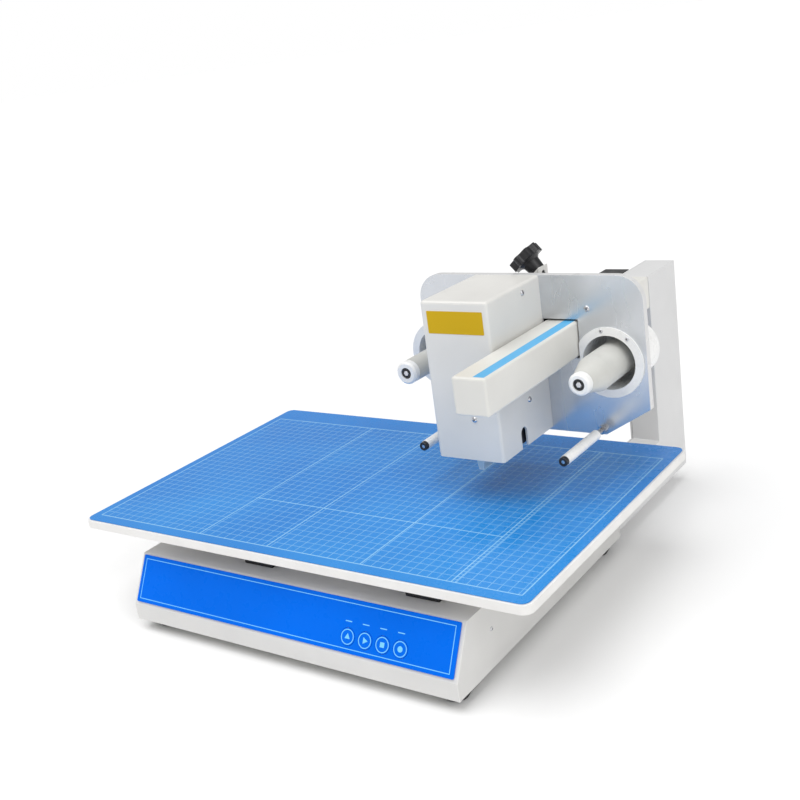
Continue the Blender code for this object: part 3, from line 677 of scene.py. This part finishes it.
def make_belt():
    """A toothed belt round the two pulleys, with its teeth on the inside."""
    low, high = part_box("table_belt")
    outer = (high.y - low.y) / 2 / MM
    half_run = (high.x - low.x) / 2 / MM - outer
    centre = (low + high) / 2
    round_part = math.pi * outer
    total = 4 * half_run + 2 * round_part
    steps = round(total / BELT_PITCH) * 4

    def point(distance, radius):
        share = distance % (total / 2)
        turn = 0 if distance < total / 2 else math.pi
        if share < 2 * half_run:
            spot = Vector((-half_run + share, -radius, 0))
        else:
            angle = -math.pi / 2 + (share - 2 * half_run) / outer
            spot = Vector((half_run + radius * math.cos(angle), radius * math.sin(angle), 0))
        return Matrix.Rotation(turn, 3, "Z") @ spot

    bm = bmesh.new()
    rings = []
    for k in range(steps):
        distance = total * k / steps
        inner = outer - BELT_T + (BELT_TOOTH if k % 4 in (0, 3) else 0)
        ring = []
        for radius, z in ((outer, low.z), (outer, high.z), (inner, high.z), (inner, low.z)):
            spot = point(distance, radius)
            ring.append(bm.verts.new((centre.x + spot.x * MM, centre.y + spot.y * MM, z)))
        rings.append(ring)
    for k in range(steps):
        here, there = rings[k], rings[(k + 1) % steps]
        for i in range(4):
            j = (i + 1) % 4
            bm.faces.new((here[i], there[i], there[j], here[j]))
    finish_piece("toothed_belt", bm, "rubber", "base", replaces=("table_belt",))


INLET_OVER = 22.7
INLET_IN = 19
BLADES = ((-7, 2), (7, 2), (0, -4))
BLADE = (2, 5, 0.4)
BLADE_L = 12
MOTOR_BOSS = ((0, 1.2), (6, 1.2), (6.4, 0.8), (6.4, -0.5), (0, -0.5))
MOTOR_SCREW_R = 12


def make_rear_details():
    """The mains inlet's three blades, and the boss and screws on the take-up motor's end."""
    low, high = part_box("power_entry")
    socket = Vector((low.x + INLET_OVER * MM, high.y - INLET_IN * MM, (low.z + high.z) / 2))
    place = facing(socket, REAR)
    bm = bmesh.new()
    for spot in BLADES:
        add_slab(bm, rectangle(*BLADE, spot), BLADE_L, place)
    finish_piece("inlet_blades", bm, "steel", "base")
    low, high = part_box("takeup_motor")
    centre = (low + high) / 2
    place = facing(Vector((centre.x, high.y, centre.z)), REAR)
    bm = bmesh.new()
    add_turned(bm, MOTOR_BOSS, place)
    finish_piece("takeup_motor_boss", bm, "aluminium", "head")
    for number in range(4):
        turn = math.radians(45 + 90 * number)
        across, above = MOTOR_SCREW_R * MM * math.cos(turn), MOTOR_SCREW_R * MM * math.sin(turn)
        at = (centre.x + across, high.y, centre.z + above)
        pan_screw(f"takeup_motor_screw_{number + 1}", at, REAR, "head", 0.7)


# ---------------------------------------------------------------- stage

CAMERA_AT = Vector((0.684, -0.932, 0.556))
CAMERA_LOOKS = Vector((-0.5713, 0.7604, -0.3089)).normalized()
CAMERA_LENS = 50.3
SENSOR_W = 36
CAMERA_ROLL = math.radians(8.23)


def make_camera():
    data = bpy.data.cameras.new("camera")
    data.lens = CAMERA_LENS
    data.sensor_width = SENSOR_W
    camera = bpy.data.objects.new("camera", data)
    bpy.context.scene.collection.objects.link(camera)
    level_right = CAMERA_LOOKS.cross(UP).normalized()
    level_up = level_right.cross(CAMERA_LOOKS)
    right = math.cos(CAMERA_ROLL) * level_right - math.sin(CAMERA_ROLL) * level_up
    up = math.cos(CAMERA_ROLL) * level_up + math.sin(CAMERA_ROLL) * level_right
    turn = Matrix((right, up, -CAMERA_LOOKS)).transposed().to_4x4()
    camera.matrix_world = Matrix.Translation(CAMERA_AT) @ turn
    bpy.context.scene.camera = camera


def soft_sun(name, towards, strength, spread):
    data = bpy.data.lights.new(name, "SUN")
    data.energy = strength
    data.angle = math.radians(spread)
    light = bpy.data.objects.new(name, data)
    bpy.context.scene.collection.objects.link(light)
    light.rotation_euler = Vector(towards).to_track_quat("-Z", "Y").to_euler()


FLOOR_R = 60
FLOOR_TONES = ((0.93, 0.93, 0.93), (0.95, 0.95, 0.95))
SKY_LIGHT = 0.41
TOP_SUN = ("top", (0.15, 0.25, -1), 1.95, 60)
RIGHT_SUN = ("right", (-1, 0.45, -0.75), 0.9, 45)


def make_stage():
    """A pale floor, two soft suns, and a plain world that looks white behind the object."""
    surface = Surface("pale_floor")
    surface.color(surface.mix(surface.noise(3, 2), *FLOOR_TONES))
    surface.rough(surface.between(surface.noise(8, 3), 0.7, 0.8))
    bm = bmesh.new()
    bmesh.ops.create_circle(bm, cap_ends=True, segments=64, radius=FLOOR_R)
    mesh = bpy.data.meshes.new("floor")
    bm.to_mesh(mesh)
    bm.free()
    mesh.materials.append(surface.material)
    floor = bpy.data.objects.new("floor", mesh)
    bpy.context.scene.collection.objects.link(floor)

    scene = bpy.context.scene
    scene.view_settings.view_transform = "Standard"
    world = bpy.data.worlds.new("studio")
    world.use_nodes = True
    tree = world.node_tree
    background = tree.nodes["Background"]
    seen = tree.nodes.new("ShaderNodeLightPath").outputs["Is Camera Ray"]
    remap = tree.nodes.new("ShaderNodeMapRange")
    remap.inputs["To Min"].default_value = SKY_LIGHT
    remap.inputs["To Max"].default_value = 1.0
    tree.links.new(seen, remap.inputs["Value"])
    tree.links.new(remap.outputs["Result"], background.inputs["Strength"])
    background.inputs["Color"].default_value = (1, 1, 1, 1)
    scene.world = world
    soft_sun(*TOP_SUN)
    soft_sun(*RIGHT_SUN)


make_camera()
make_stage()
dress_cad_nodes()
soften_edges()
make_panel_print()
make_arm_stripe()
make_plate_face()
make_cover_label()
make_screws()
make_reel_noses()
make_roller_ends()
make_notch_shade_sheet()
make_screw_threads()
make_belt()
make_rear_details()
